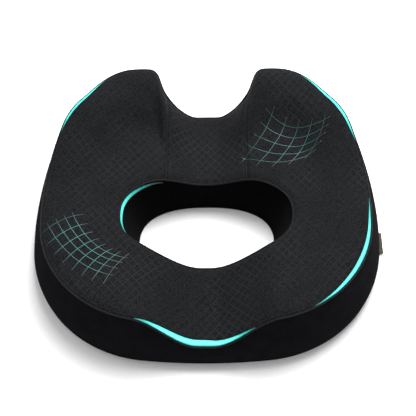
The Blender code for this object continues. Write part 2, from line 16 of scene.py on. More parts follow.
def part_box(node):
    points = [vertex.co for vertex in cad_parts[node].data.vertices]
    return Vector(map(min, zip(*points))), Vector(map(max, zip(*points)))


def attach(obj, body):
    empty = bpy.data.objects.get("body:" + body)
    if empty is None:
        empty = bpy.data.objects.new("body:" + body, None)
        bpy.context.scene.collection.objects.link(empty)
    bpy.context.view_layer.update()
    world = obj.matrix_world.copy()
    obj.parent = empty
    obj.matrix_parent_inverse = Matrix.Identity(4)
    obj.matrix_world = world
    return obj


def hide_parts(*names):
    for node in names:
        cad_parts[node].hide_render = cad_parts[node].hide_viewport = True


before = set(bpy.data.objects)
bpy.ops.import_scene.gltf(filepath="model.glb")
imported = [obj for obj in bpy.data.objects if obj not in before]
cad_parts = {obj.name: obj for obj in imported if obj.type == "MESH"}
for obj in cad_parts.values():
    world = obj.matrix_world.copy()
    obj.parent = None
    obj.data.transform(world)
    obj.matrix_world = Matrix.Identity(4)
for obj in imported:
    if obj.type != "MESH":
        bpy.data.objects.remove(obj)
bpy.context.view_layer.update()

# ------------------------------------------------------------ sizes shared with the frame
BAND_LOW, BAND_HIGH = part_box("front_gusset")
WIDTH = BAND_HIGH.x - BAND_LOW.x
FRONT_Y = BAND_LOW.y
DEPTH = -2 * FRONT_Y
# Heights of the top at the horns, the sides, the seat, the bridge and the front channel.
REAR_LEVEL, SIDE_LEVEL, SEAT_LEVEL = 0.110, 0.082, 0.075
BRIDGE_LEVEL, CHANNEL_LEVEL = 0.053, 0.038
ARC_RADII = {
    "notch": 0.020, "horn": 0.022, "shoulder": 0.130,
    "side": 0.480, "corner": 0.168, "front": 0.750,
}
WIDEST_Y, HORN_X, NOTCH_DEPTH, NOTCH_FLAT = -0.012, 0.082, 0.044, 0.037
BRIDGE_SEAM_X = 0.054
OPENING, OPENING_FOOT = (0.228, 0.126), (0.184, 0.120)
OPENING_Y, SQUARENESS, FLARE = -0.021, 2.4, 1.6
RIM_SPAN, RIM_CREST, RIM_START_Y, RIM_FULL_Y = 0.095, 0.014, 0.010, 0.145
# A flank starts at the first x beside the opening, at the second beside the outer seam, and ends
# at the third.
BRIDGE_FLANK, CHANNEL_FLANK = (0.005, 0.014, 0.077), (0.006, 0.010, 0.093)
EDGE_ROLL, EDGE_DROP = 0.014, 0.004
FOOT_BAND, FOOT_INSET = 0.022, 0.004
REAR_LEAN, SIDE_LEAN, LEAN_START, LEAN_END = 0.06, 0.22, 0.025, 0.120
CLOTH = 0.0015
ZIP_TOP, COIL_LINE = 0.0200, 0.1278  # height of the tapes, and radius of the coils' arc
PLAN_STEP = 0.001  # spacing of the points of a line seen from above

# ------------------------------------------------------------ sewing and stuffing
SEAM_GAP = 0.0005  # from a panel's edge to the middle of its seam
PANEL_GAP = 0.0003  # from a panel's edge to the middle of the bridge's seam, or to the zip
WELT = 0.0011  # radius of the piping in the corner seams
FINE_WELT = 0.0007  # radius of the piping in the flat and upright seams
PAD_DEPTH = 0.0065  # how far inside the cover the pad starts before it swells
PAD_CAP = 0.0045  # furthest that the pad may swell
PAD_HOLD = 0.014  # how far from a seam the pad is held back
PUFF = 0.55  # share of the pad's swelling that the cover follows
SETTLE = 0.0009  # how far the cover sits in before it swells
SEAM_HOLD = 0.0015  # the cover doesn't move this near to a seam
TOP_LOOSE, SIDE_LOOSE = 0.022, 0.030  # distance from a seam at which a panel moves freely
PUCKER = 0.00035  # height of the small gathers beside a seam
RIM_PACE, RIM_RUN = 2.6, 0.4  # how much faster the gathers come round the opening, and its length
# How deep a seam draws the cloth in, and from how far: beside the bridge, at the side band's and
# the lining's upright seams, and along the foot.
BRIDGE_TUCK, UPRIGHT_TUCK = (0.0030, 0.0060), (0.0011, 0.0035)
LINING_TUCK, FOOT_TUCK = (0.0015, 0.005), (0.0012, 0.006)
STITCH_PITCH, STITCH_LENGTH, STITCH_INSET = 0.0036, 0.0026, 0.0042
STITCH_WIDTH, STITCH_HEIGHT = 0.0007, 0.0005
DOT_PITCH, DOT_RADIUS, DOT_HEIGHT = 0.0085, 0.0017, 0.0007
DOT_ROW, DOT_MARGIN = 0.866 * DOT_PITCH, 0.013  # from row to row, and from the underside's edges
FILM_THICKNESS = 0.0002
UP = Vector((0, 0, 1))


def ease(value, low, high):
    """0 up to low, 1 from high on, and an S curve between them."""
    share = min(1.0, max(0.0, (value - low) / (high - low)))
    return share * share * (3.0 - 2.0 * share)


def between(first, last, share):
    return first + (last - first) * share


# ============================================================ plan lines


class PlanLine:
    """A line seen from above, read by its own length, with its outward side on the left."""

    def __init__(self, corners):
        corners = np.array(corners, float)
        run = np.concatenate([[0.0], np.cumsum(np.linalg.norm(np.diff(corners, axis=0), axis=1))])
        self.length = float(run[-1])
        self.at = np.linspace(0.0, self.length, 1 + math.ceil(self.length / PLAN_STEP))
        self.spots = np.stack([np.interp(self.at, run, corners[:, k]) for k in (0, 1)], axis=1)
        slope = np.gradient(self.spots, self.at, axis=0)
        self.sides = np.stack([-slope[:, 1], slope[:, 0]], axis=1)

    def spot(self, length):
        return Vector([float(np.interp(length, self.at, self.spots[:, k])) for k in (0, 1)])

    def side(self, length):
        side = [float(np.interp(length, self.at, self.sides[:, k])) for k in (0, 1)]
        return Vector(side).normalized()

    def length_at_x(self, x):
        past = max(1, int(np.argmax(self.spots[:, 0] >= x)))
        return float(np.interp(x, self.spots[past - 1 : past + 1, 0], self.at[past - 1 : past + 1]))


def joining_centre(first, first_reach, second, second_reach):
    """The centre of an arc that touches two others, on the +X, -Y side of their line."""
    apart = second - first
    along = (first_reach**2 - second_reach**2 + apart.length_squared) / (2 * apart.length)
    unit = apart.normalized()
    return first + unit * along + Vector((unit.y, -unit.x)) * math.sqrt(first_reach**2 - along**2)


def bearing(start, end):
    return math.atan2(end.y - start.y, end.x - start.x)


def outline():
    """The right half of the outline, the lengths at which its arcs end, and the shoulder's arc."""
    radius = ARC_RADII
    side = Vector((WIDTH / 2 - radius["side"], WIDEST_Y))
    front = Vector((0.0, FRONT_Y + radius["front"]))
    horn = Vector((HORN_X, DEPTH / 2 - radius["horn"]))
    notch = Vector((NOTCH_FLAT, DEPTH / 2 - NOTCH_DEPTH + radius["notch"]))
    reach = radius["side"] - radius["shoulder"]
    shoulder = joining_centre(side, reach, horn, radius["shoulder"] - radius["horn"])
    reach = radius["side"] - radius["corner"]
    corner = joining_centre(side, reach, front, radius["front"] - radius["corner"])
    touching = (radius["notch"] + radius["horn"]) / (horn - notch).length
    leave = bearing(notch, horn) - math.acos(touching)
    turns = {
        "notch": (notch, -math.pi / 2, leave),
        "horn": (horn, leave + math.pi, bearing(shoulder, horn)),
        "shoulder": (shoulder, bearing(shoulder, horn), bearing(side, shoulder)),
        "side": (side, bearing(side, shoulder), bearing(side, corner)),
        "corner": (corner, bearing(side, corner), bearing(front, corner)),
        "front": (front, bearing(front, corner), -math.pi / 2),
    }
    spots, run, ends = [Vector((0.0, DEPTH / 2 - NOTCH_DEPTH))], 0.0, {}
    for name, (centre, start, end) in turns.items():
        count = math.ceil(radius[name] * abs(end - start) / PLAN_STEP)
        for i in range(count + 1):
            angle = between(start, end, i / count)
            spots.append(centre + radius[name] * Vector((math.cos(angle), math.sin(angle))))
            run += (spots[-1] - spots[-2]).length
        ends[name] = run
    return PlanLine(spots), ends, turns["shoulder"]


def opening_line(width, depth):
    """The right half of the opening's rounded, slightly square line, in steps of half a degree."""
    power, spots = 2 / SQUARENESS, []
    for angle in np.linspace(math.pi / 2, -math.pi / 2, 361):
        y = math.copysign(abs(math.sin(angle)) ** power, math.sin(angle))
        spots.append((width / 2 * abs(math.cos(angle)) ** power, OPENING_Y + depth / 2 * y))
    return PlanLine(spots)


OUTER, ARC_END, SHOULDER_TURN = outline()
RIM, RIM_FOOT = opening_line(*OPENING), opening_line(*OPENING_FOOT)
HALF = OUTER.length
LAP = 2 * HALF


# ============================================================ the skin


def top_level(place, inside, beside):
    """Height of the top, inside from the outer seam and beside from the opening."""
    x, y = abs(place.x), place.y
    rim = between(SIDE_LEVEL, REAR_LEVEL, ease(y, RIM_START_Y, RIM_FULL_Y))
    land = between(SEAT_LEVEL, rim, 1 - ease(inside, RIM_CREST, RIM_SPAN))
    near, far, end = BRIDGE_FLANK if y > OPENING_Y else CHANNEL_FLANK
    floor = BRIDGE_LEVEL if y > OPENING_Y else CHANNEL_LEVEL
    reached = beside / max(inside + beside, 1e-5)
    roll = max(0.0, 1 - inside / EDGE_ROLL) ** 2 + max(0.0, 1 - beside / EDGE_ROLL) ** 2
    return between(floor, land, ease(x, between(near, far, reached), end)) - EDGE_DROP * roll


def seam_spot(length):
    """A point of the outer seam. Its lean depends on its own height, so both are refined."""
    place, normal = OUTER.spot(length), OUTER.side(length)
    lean = between(REAR_LEAN, SIDE_LEAN, ease(length - ARC_END["horn"], LEAN_START, LEAN_END))
    level = SIDE_LEVEL
    for _ in range(5):
        seam = place - normal * lean * level
        level = top_level(seam, 0.0, RIM_SPAN)
    return Vector((seam.x, seam.y, level))


def bridge_station():
    """The station where the outer seam crosses the line of the bridge's seam."""
    lengths = np.arange(0.0, ARC_END["horn"], PLAN_STEP)
    reached = np.array([seam_spot(length).x for length in lengths])
    past = int(np.argmax(reached >= BRIDGE_SEAM_X))
    around = slice(past - 1, past + 1)
    return float(np.interp(BRIDGE_SEAM_X, reached[around], lengths[around]))


BRIDGE_END = bridge_station()


class Slice:
    """One cut through the ring at a station."""

    def __init__(self, station):
        self.station = station
        station %= LAP
        self.hand = 1 if station <= HALF else -1
        length = min(station, LAP - station)
        self.outer, self.normal = OUTER.spot(length), OUTER.side(length)
        self.seam = seam_spot(length)
        if length <= BRIDGE_END:
            rim_at, foot_at = RIM.length_at_x(self.seam.x), RIM_FOOT.length_at_x(self.seam.x)
        else:
            share = (length - BRIDGE_END) / (HALF - BRIDGE_END)
            rim_at = between(RIM.length_at_x(BRIDGE_SEAM_X), RIM.length, share)
            foot_at = between(RIM_FOOT.length_at_x(BRIDGE_SEAM_X), RIM_FOOT.length, share)
        self.rim, self.rim_foot = RIM.spot(rim_at), RIM_FOOT.spot(foot_at)
        self.span = (self.seam.xy - self.rim).length
        self.rim_z = top_level(self.rim, self.span, 0.0)

    def placed(self, plan, level):
        return Vector((self.hand * plan.x, plan.y, level))

    def top(self, share):
        plan = between(self.rim, self.seam.xy, share)
        return self.placed(plan, top_level(plan, (1 - share) * self.span, share * self.span))

    def side(self, level):
        lean = (self.outer - self.seam.xy).length
        inset = FOOT_INSET * max(0.0, 1 - level / FOOT_BAND) ** 2
        if level > FOOT_BAND:
            inset = lean * ((level - FOOT_BAND) / (self.seam.z - FOOT_BAND)) ** 1.5
        return self.placed(self.outer - self.normal * inset, level)

    def wall(self, share):
        return self.placed(between(self.rim_foot, self.rim, share**FLARE), share * self.rim_z)

    def base(self, share):
        foot = self.outer - self.normal * FOOT_INSET
        return self.placed(between(foot, self.rim_foot, share), 0.0)


# ============================================================ making meshes


def mapped_grid(columns, rows, place):
    """A grid with a point for each column and row. place gives a point and its (u, v) in metres."""
    bm = bmesh.new()
    uv = bm.loops.layers.uv.new("cloth")
    across, along = len(columns) - 1, len(rows) - 1
    bmesh.ops.create_grid(bm, x_segments=across, y_segments=along, size=1.0)
    lengths = {}
    for vert in bm.verts:
        i, j = round((vert.co.x + 1) / 2 * across), round((vert.co.y + 1) / 2 * along)
        vert.co, lengths[vert.index] = place(columns[i], rows[j])
    for face in bm.faces:
        for loop in face.loops:
            loop[uv].uv = lengths[loop.vert.index]
    bm.normal_update()
    return bm


def steps(first, last, spacing):
    count = max(1, math.ceil(abs(last - first) / spacing))
    return [between(first, last, i / count) for i in range(count + 1)]


def cuts(first, last, spacing):
    return [Slice(station) for station in steps(first, last, spacing)]


def rolled(count):
    """Shares from 0 to 1 that are closer together at both ends."""
    shares = []
    for i in range(count + 1):
        even = i / count
        shares.append(between(even, 0.5 - 0.5 * math.cos(math.pi * even), 0.7))
    return shares


def piece(name, bm, body, finish, stands_for=()):
    """A finished piece of the object from a mesh in its final place."""
    mesh = bpy.data.meshes.new(name)
    bm.to_mesh(mesh)
    bm.free()
    mesh.shade_smooth()
    made = bpy.data.objects.new(name, mesh)
    bpy.context.scene.collection.objects.link(made)
    mesh.materials.append(finish)
    if stands_for:
        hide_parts(*stands_for)
    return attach(made, body)


def thicken(made, thickness):
    solid = made.modifiers.new("Cloth thickness", "SOLIDIFY")
    solid.thickness, solid.offset = thickness, -1.0


def tube(name, points, radius, closed, finish, sides=8, stands_for=()):
    """A round cord through the points, with its own length and turn as its (u, v)."""
    count = len(points)
    spots = [Vector(p) for p in points]
    rings = []
    run = 0.0
    for i, spot in enumerate(spots):
        ahead = spots[(i + 1) % count] if closed else spots[min(i + 1, count - 1)]
        behind = spots[i - 1] if closed or i else spot
        along = (ahead - behind).normalized()
        across = along.cross(Vector((0, 0, 1)))
        if across.length < 0.2:
            across = along.cross(Vector((0, 1, 0)))
        across.normalize()
        rings.append((spot, across, across.cross(along).normalized(), run))
        run += (ahead - spot).length
    if closed:
        rings.append((*rings[0][:3], run))

    def place(ring, side):
        centre, across, up, length = ring
        angle = -2 * math.pi * side / sides
        out = math.cos(angle) * across + math.sin(angle) * up
        return centre + radius * out, (length, side * radius)

    bm = mapped_grid(rings, list(range(sides + 1)), place)
    bmesh.ops.remove_doubles(bm, verts=bm.verts, dist=radius * 0.02)
    if not closed:
        bmesh.ops.holes_fill(bm, edges=bm.edges)
    bmesh.ops.recalc_face_normals(bm, faces=bm.faces)
    piece(name, bm, "cushion", finish, stands_for)


def seeds(name, placings, size, finish, rounds=(6, 4)):
    """Many small rounded beads as one piece. Each placing is (spot, long way, up)."""
    bm = bmesh.new()
    bmesh.ops.create_uvsphere(bm, u_segments=rounds[0], v_segments=rounds[1], radius=0.5)
    bmesh.ops.scale(bm, vec=size, verts=bm.verts)
    bead = bpy.data.meshes.new("bead")
    bm.to_mesh(bead)
    bm.clear()
    for spot, along, up in placings:
        along = along.normalized()
        up = (up - along * up.dot(along)).normalized()
        turn = Matrix((along, up.cross(along), up)).transposed().to_4x4()
        set_down = Matrix.Translation(spot) @ turn
        bead.transform(set_down)
        bm.from_mesh(bead)
        bead.transform(set_down.inverted())
    bpy.data.meshes.remove(bead)
    piece(name, bm, "cushion", finish)


# ============================================================ the pad


def skin_ring():
    """The whole skin as one closed ring."""
    wall = [("wall", share) for share in steps(0.0, 1.0, 0.09)]
    top = [("top", share) for share in rolled(20)[1:]]
    side = [("side", share) for share in steps(1.0, 0.0, 0.07)[1:]]
    base = [("base", share) for share in steps(0.0, 1.0, 0.06)[1:]]

    def place(cut, row):
        kind, share = row
        if kind == "side":
            share *= cut.seam.z
        return getattr(cut, kind)(share), (0.0, 0.0)

    bm = mapped_grid(cuts(0.0, LAP, 0.006), wall + top + side + base, place)
    bmesh.ops.remove_doubles(bm, verts=bm.verts, dist=0.0002)
    bmesh.ops.recalc_face_normals(bm, faces=bm.faces)
    bm.normal_update()
    return bm


def seam_points():
    """Points along every seam, where the cover holds the pad in."""
    held = []
    for cut in cuts(0.0, LAP, 0.004):
        held += [cut.top(1.0), cut.top(0.0), cut.base(0.0), cut.base(1.0)]
    for station in (BRIDGE_END, -BRIDGE_END):
        cut = Slice(station)
        held += [cut.top(share) for share in steps(0.0, 1.0, 0.05)]
    return held


def near_tree(points):
    tree = KDTree(len(points))
    for i, point in enumerate(points):
        tree.insert(point, i)
    tree.balance()
    return tree


SEAMS = near_tree(seam_points())


def stuffed_pad(finish):
    """The foam ring, swollen by a cloth simulation that its seams hold in. It returns where each
    point was, and how far it moved."""
    bm = skin_ring()
    moves = [vert.normal * PAD_DEPTH for vert in bm.verts]
    for vert, move in zip(bm.verts, moves):
        vert.co -= move
    pad = piece("foam_pad", bm, "cushion", finish, ("foam_core",))
    scene = bpy.context.scene
    remesh = pad.modifiers.new("Even mesh", "REMESH")
    remesh.mode = "VOXEL"
    remesh.voxel_size = 0.006
    remesh.use_smooth_shade = True
    graph = bpy.context.evaluated_depsgraph_get()
    pad.data = bpy.data.meshes.new_from_object(pad.evaluated_get(graph))
    pad.data.name = "foam_pad"
    pad.modifiers.clear()
    rest = [vert.co.copy() for vert in pad.data.vertices]
    moved = [Vector((0, 0, 0)) for _ in rest]
    held = pad.vertex_groups.new(name="held by the seams")
    for i, spot in enumerate(rest):
        away = SEAMS.find(spot)[2]
        held.add([i], 1 - ease(away, PAD_DEPTH, PAD_DEPTH + PAD_HOLD), "REPLACE")
    cloth = pad.modifiers.new("Stuffing", "CLOTH")
    cloth.settings.use_pressure = True
    cloth.settings.uniform_pressure_force = 4.0
    cloth.settings.vertex_group_mass = held.name
    cloth.settings.effector_weights.gravity = 0.0
    for step in range(1, 21):
        scene.frame_set(step)
    graph = bpy.context.evaluated_depsgraph_get()
    swollen = pad.evaluated_get(graph).data.vertices
    for i, spot in enumerate(rest):
        move = swollen[i].co - spot
        moved[i] = move * min(1.0, PAD_CAP / max(move.length, 1e-6))
    pad.modifiers.clear()
    scene.frame_set(1)
    for i, vert in enumerate(pad.data.vertices):
        vert.co = rest[i] + moved[i]
    soft = pad.modifiers.new("Soft surface", "SUBSURF")
    soft.levels = soft.render_levels = 1
    return rest, moved


class Swell:
    """How the cover follows the pad: the pad's own movement nearby, less the cover's settling."""

    def __init__(self, rest, moved):
        self.tree, self.moved = near_tree(rest), moved

    def at(self, spot, normal):
        total, weight = Vector((0, 0, 0)), 0.0
        for _, i, away in self.tree.find_n(spot, 8):
            near = 1 / (away * away + 1e-6)
            total += self.moved[i] * near
            weight += near
        return total / weight * PUFF - normal * SETTLE

    def apply(self, bm, loose_at=TOP_LOOSE):
        """Move a cover panel's points out with the pad, but not beside a seam."""
        bm.normal_update()
        moves = []
        for vert in bm.verts:
            loose = ease(SEAMS.find(vert.co)[2], SEAM_HOLD, loose_at)
            moves.append(self.at(vert.co, vert.normal) * loose)
        for vert, move in zip(bm.verts, moves):
            vert.co += move


def tuck(away, depth, reach):
    """How far a seam draws the cloth in at a distance from it."""
    return depth * max(0.0, 1 - away / reach) ** 2


def gathers(run, away):
    """The uneven folds, 10 to 36 mm long, that a stitched seam pulls into the cloth beside it."""
    wave = math.sin(run * 620) + 0.7 * math.sin(run * 391 + 1.3) + 0.5 * math.sin(run * 173 + 0.4)
    return PUCKER * wave * 0.5 * math.exp(-away / 0.006) * ease(away, 0.0, SEAM_HOLD)


# ============================================================ materials


def linear(code):
    """A colour from its sRGB hex code."""
    parts = [int(code[k : k + 2], 16) / 255 for k in (1, 3, 5)]
    parts = [c / 12.92 if c <= 0.04045 else ((c + 0.055) / 1.055) ** 2.4 for c in parts]
    return (*parts, 1.0)


def add_node(tree, kind, inputs=None, **settings):
    """A node with its settings. An input is given a value, or the socket that it is linked from."""
    made = tree.nodes.new(kind)
    for key, value in settings.items():
        setattr(made, key, value)
    for key, value in (inputs or {}).items():
        if isinstance(value, bpy.types.NodeSocket):
            tree.links.new(value, made.inputs[key])
        else:
            made.inputs[key].default_value = value
    return made


def shader(name, roughness, gloss, **values):
    """A new material, its tree and its main shader. Loose fibres scatter a gloss away, so a
    cloth's is low."""
    made = bpy.data.materials.new(name)
    made.use_nodes = True
    main = made.node_tree.nodes["Principled BSDF"]
    main.inputs["Roughness"].default_value = roughness
    main.inputs["Specular IOR Level"].default_value = gloss
    for key, value in values.items():
        main.inputs[key.replace("_", " ")].default_value = value
    return made, made.node_tree, main


def jacquard_knit():
    """Polyester jacquard air knit: raised diamonds over a fine speckled loop surface. The lighter
    colour at their edges is a painted highlight where the edges catch the light, shown in patches."""
    made, tree, main = shader("jacquard_knit", 0.82, 0.05, Sheen_Weight=0.03, Sheen_Roughness=0.45)
    diamond_width, diamond_length = 0.0115, 0.0135
    place = add_node(tree, "ShaderNodeTexCoord").outputs["Object"]
    sides = []
    for hand in (1, -1):
        slant = (1 / diamond_width, hand / diamond_length, 0.0)
        run = add_node(
            tree, "ShaderNodeVectorMath", {0: place, 1: slant}, operation="DOT_PRODUCT"
        ).outputs["Value"]
        fold = add_node(tree, "ShaderNodeMath", {0: run, 1: 0.5}, operation="PINGPONG")
        sides.append(fold.outputs[0])
    inner = add_node(tree, "ShaderNodeMath", dict(enumerate(sides)), operation="MINIMUM").outputs[0]
    rise = add_node(
        tree, "ShaderNodeMath", {0: inner, 1: 8.0}, operation="MULTIPLY", use_clamp=True
    ).outputs[0]
    line = add_node(tree, "ShaderNodeMath", {0: 1.0, 1: rise}, operation="SUBTRACT").outputs[0]
    loops = add_node(tree, "ShaderNodeTexNoise", {"Vector": place, "Scale": 620.0, "Detail": 2.0})
    patches = add_node(tree, "ShaderNodeTexNoise", {"Vector": place, "Scale": 16.0, "Detail": 2.0})
    speck = add_node(
        tree, "ShaderNodeMath", {0: loops.outputs["Fac"], 1: 2.6, 2: -0.8},
        operation="MULTIPLY_ADD", use_clamp=True,
    ).outputs[0]
    ground = add_node(
        tree, "ShaderNodeMix", {0: speck, 6: linear("#050506"), 7: linear("#1E1F21")},
        data_type="RGBA",
    ).outputs[2]
    # Painted highlight: the diamonds' edges are mixed towards a lighter colour, faded in and out in
    # patches.
    shown = add_node(
        tree, "ShaderNodeMath", {0: patches.outputs["Fac"], 1: 3.0, 2: -1.1},
        operation="MULTIPLY_ADD", use_clamp=True,
    ).outputs[0]
    shade = add_node(tree, "ShaderNodeMath", {0: line, 1: shown}, operation="MULTIPLY").outputs[0]
    colour = add_node(
        tree, "ShaderNodeMix", {0: shade, 6: ground, 7: linear("#222325")}, data_type="RGBA"
    ).outputs[2]
    tree.links.new(colour, main.inputs["Base Color"])
    height = add_node(
        tree, "ShaderNodeMath", {0: loops.outputs["Fac"], 1: 0.35, 2: rise},
        operation="MULTIPLY_ADD",
    ).outputs[0]
    bump = add_node(
        tree, "ShaderNodeBump", {"Height": height, "Strength": 0.16, "Distance": 0.0009}
    )
    tree.links.new(bump.outputs[0], main.inputs["Normal"])
    return made


def ribbed_knit(name, dark, light, rib, depth):
    """Smooth polyester knit, almost black: fine upright ribs, drawn about 2 mm apart so that they
    show, crossed by shorter loops."""
    made, tree, main = shader(name, 0.95, 0.0, Sheen_Weight=0.01, Sheen_Roughness=0.5)
    place = add_node(tree, "ShaderNodeUVMap", uv_map="cloth").outputs[0]
    split = add_node(tree, "ShaderNodeSeparateXYZ", {0: place})
    waves = []
    for axis, per_metre in ((0, 1 / rib), (1, 1.4 / rib)):
        run = add_node(
            tree, "ShaderNodeMath", {0: split.outputs[axis], 1: per_metre}, operation="MULTIPLY"
        ).outputs[0]
        wave = add_node(tree, "ShaderNodeMath", {0: run, 1: 0.5}, operation="PINGPONG")
        waves.append(wave.outputs[0])
    weave = add_node(
        tree, "ShaderNodeMath", dict(enumerate(waves)), operation="ADD", use_clamp=True
    ).outputs[0]
    solid = add_node(tree, "ShaderNodeTexCoord").outputs["Object"]
    wear = add_node(
        tree, "ShaderNodeTexNoise", {"Vector": solid, "Scale": 55.0, "Detail": 4.0}
    ).outputs["Fac"]
    share = add_node(tree, "ShaderNodeMath", {0: weave, 1: wear}, operation="MULTIPLY").outputs[0]
    colour = add_node(
        tree, "ShaderNodeMix", {0: share, 6: linear(dark), 7: linear(light)}, data_type="RGBA"
    ).outputs[2]
    tree.links.new(colour, main.inputs["Base Color"])
    bump = add_node(tree, "ShaderNodeBump", {"Height": weave, "Strength": 0.3, "Distance": depth})
    tree.links.new(bump.outputs[0], main.inputs["Normal"])
    return made


def twisted_piping():
    """Piping of twisted polyester yarn: slanted strands, a little lighter than the cloth. The
    lighter colour is partly a painted highlight along the seams.
    """
    made, tree, main = shader("piping", 0.6, 0.08, Sheen_Weight=0.04, Sheen_Roughness=0.4)
    strand_spacing, around = 0.0016, 140.0
    place = add_node(tree, "ShaderNodeUVMap", uv_map="cloth").outputs[0]
    slant = (1 / strand_spacing, around, 0.0)
    run = add_node(
        tree, "ShaderNodeVectorMath", {0: place, 1: slant}, operation="DOT_PRODUCT"
    ).outputs["Value"]
    strand = add_node(tree, "ShaderNodeMath", {0: run, 1: 0.5}, operation="PINGPONG").outputs[0]
    # Painted highlight: each strand is drawn lighter in its middle and darker in the grooves
    # between strands.
    lit = add_node(tree, "ShaderNodeMath", {0: strand, 1: 2.0}, operation="MULTIPLY").outputs[0]
    colour = add_node(
        tree, "ShaderNodeMix", {0: lit, 6: linear("#09090A"), 7: linear("#202124")},
        data_type="RGBA",
    ).outputs[2]
    tree.links.new(colour, main.inputs["Base Color"])
    bump = add_node(
        tree, "ShaderNodeBump", {"Height": strand, "Strength": 0.6, "Distance": 0.0004}
    )
    tree.links.new(bump.outputs[0], main.inputs["Normal"])
    return made


def speckled(name, dark, light, grain, roughness, bump_share=0.2, gloss=0.5, **values):
    """A surface whose two close shades mix in grains of one real size."""
    made, tree, main = shader(name, roughness, gloss, **values)
    place = add_node(tree, "ShaderNodeTexCoord").outputs["Object"]
    grains = add_node(
        tree, "ShaderNodeTexNoise", {"Vector": place, "Scale": 1 / grain, "Detail": 3.0}
    ).outputs["Fac"]
    share = add_node(
        tree, "ShaderNodeMath", {0: grains, 1: 1.8, 2: -0.4},
        operation="MULTIPLY_ADD", use_clamp=True,
    ).outputs[0]
    colour = add_node(
        tree, "ShaderNodeMix", {0: share, 6: linear(dark), 7: linear(light)}, data_type="RGBA"
    ).outputs[2]
    tree.links.new(colour, main.inputs["Base Color"])
    bump = add_node(
        tree, "ShaderNodeBump", {"Height": grains, "Strength": bump_share, "Distance": grain / 3}
    )
    tree.links.new(bump.outputs[0], main.inputs["Normal"])
    return made


def faded_film():
    """Heat-pressed teal film: bright in the middle of a stroke and thin enough at its ends to let
    the black knit through. The stroke carries its own strength. The same film also draws the
    painted teal glow on the opening's wall."""
    made, tree, main = shader("teal_film", 0.42, 0.3)
    strength = add_node(tree, "ShaderNodeAttribute", attribute_name="strength").outputs["Fac"]
    place = add_node(tree, "ShaderNodeTexCoord").outputs["Object"]
    cracks = add_node(
        tree, "ShaderNodeTexNoise", {"Vector": place, "Scale": 480.0, "Detail": 2.0}
    ).outputs["Fac"]
    worn = add_node(
        tree, "ShaderNodeMath", {0: cracks, 1: -0.25, 2: 1.12},
        operation="MULTIPLY_ADD", use_clamp=True,
    ).outputs[0]
    share = add_node(
        tree, "ShaderNodeMath", {0: strength, 1: worn}, operation="MULTIPLY"
    ).outputs[0]
    ramp = add_node(tree, "ShaderNodeValToRGB", {0: share})
    ramp.color_ramp.elements[0].color = linear("#141618")
    ramp.color_ramp.elements[1].color = linear("#7FFFF2")
    for at, code in ((0.35, "#245A55"), (0.7, "#2CC4B8")):
        ramp.color_ramp.elements.new(at).color = linear(code)
    tree.links.new(ramp.outputs[0], main.inputs["Base Color"])
    bump = add_node(
        tree, "ShaderNodeBump", {"Height": cracks, "Strength": 0.1, "Distance": 0.0003}
    )
    tree.links.new(bump.outputs[0], main.inputs["Normal"])
    return made


def woven_tag():
    """Damask tag of black and orange thread: a 1.2 mm weave with a row of plain orange bars."""
    made, tree, main = shader("tag_weave", 0.75, 0.15, Sheen_Weight=0.05)
    thread_spacing, bar_pitch, bar_share = 0.0012, 0.0042, 0.42
    first_bar, last_bar, bar_foot, bar_top = 0.0040, 0.0290, 0.0016, 0.0040
    place = add_node(tree, "ShaderNodeUVMap", uv_map="cloth").outputs[0]
    split = add_node(tree, "ShaderNodeSeparateXYZ", {0: place})
    along, out = split.outputs[0], split.outputs[1]
    pace = add_node(
        tree, "ShaderNodeMath", {0: along, 1: 1 / bar_pitch}, operation="MULTIPLY"
    ).outputs[0]
    step = add_node(tree, "ShaderNodeMath", {0: pace}, operation="FRACT").outputs[0]
    mark = add_node(
        tree, "ShaderNodeMath", {0: step, 1: bar_share}, operation="LESS_THAN"
    ).outputs[0]
    for side, limit, kept in (
        (out, bar_foot, "GREATER_THAN"), (out, bar_top, "LESS_THAN"),
        (along, first_bar, "GREATER_THAN"), (along, last_bar, "LESS_THAN"),
    ):
        edge = add_node(tree, "ShaderNodeMath", {0: side, 1: limit}, operation=kept).outputs[0]
        mark = add_node(tree, "ShaderNodeMath", {0: mark, 1: edge}, operation="MULTIPLY").outputs[0]
    run = add_node(
        tree, "ShaderNodeMath", {0: along, 1: 1 / thread_spacing}, operation="MULTIPLY"
    ).outputs[0]
    thread = add_node(tree, "ShaderNodeMath", {0: run, 1: 0.5}, operation="PINGPONG").outputs[0]
    ground = add_node(
        tree, "ShaderNodeMix", {0: thread, 6: linear("#2E2A27"), 7: linear("#6A6058")},
        data_type="RGBA",
    ).outputs[2]
    colour = add_node(
        tree, "ShaderNodeMix", {0: mark, 6: ground, 7: linear("#D9812E")}, data_type="RGBA"
    ).outputs[2]
    tree.links.new(colour, main.inputs["Base Color"])
    bump = add_node(
        tree, "ShaderNodeBump", {"Height": thread, "Strength": 0.3, "Distance": 0.0003}
    )
    tree.links.new(bump.outputs[0], main.inputs["Normal"])
    return made


JACQUARD = jacquard_knit()
# The side band, the opening's lining and the underside are the same knit, each in its own colours.
# The lining's darker colours are painted shade inside the opening.
PLAIN = ribbed_knit("plain_knit", "#0B0B0D", "#1E1E21", 0.0024, 0.0004)
LINING = ribbed_knit("lining_knit_painted_shade", "#060607", "#101012", 0.0024, 0.0003)
GRIP = ribbed_knit("grip_cloth", "#101113", "#232427", 0.0018, 0.0003)
PIPING = twisted_piping()
# Slow-recovery foam: cream, with pores about a millimetre across.
FOAM = speckled("memory_foam", "#CFC6AA", "#E6DEC6", 0.0012, 0.95)
# Silicone dots: moulded, slightly shiny and near black.
SILICONE = speckled("silicone_dots", "#17181A", "#202124", 0.0020, 0.38, 0.05)
# Spun polyester sewing thread: soft and a little hairy.
THREAD = speckled("sewing_thread", "#151618", "#2A2B2D", 0.0008, 0.7, 0.3, 0.12, Sheen_Weight=0.06)
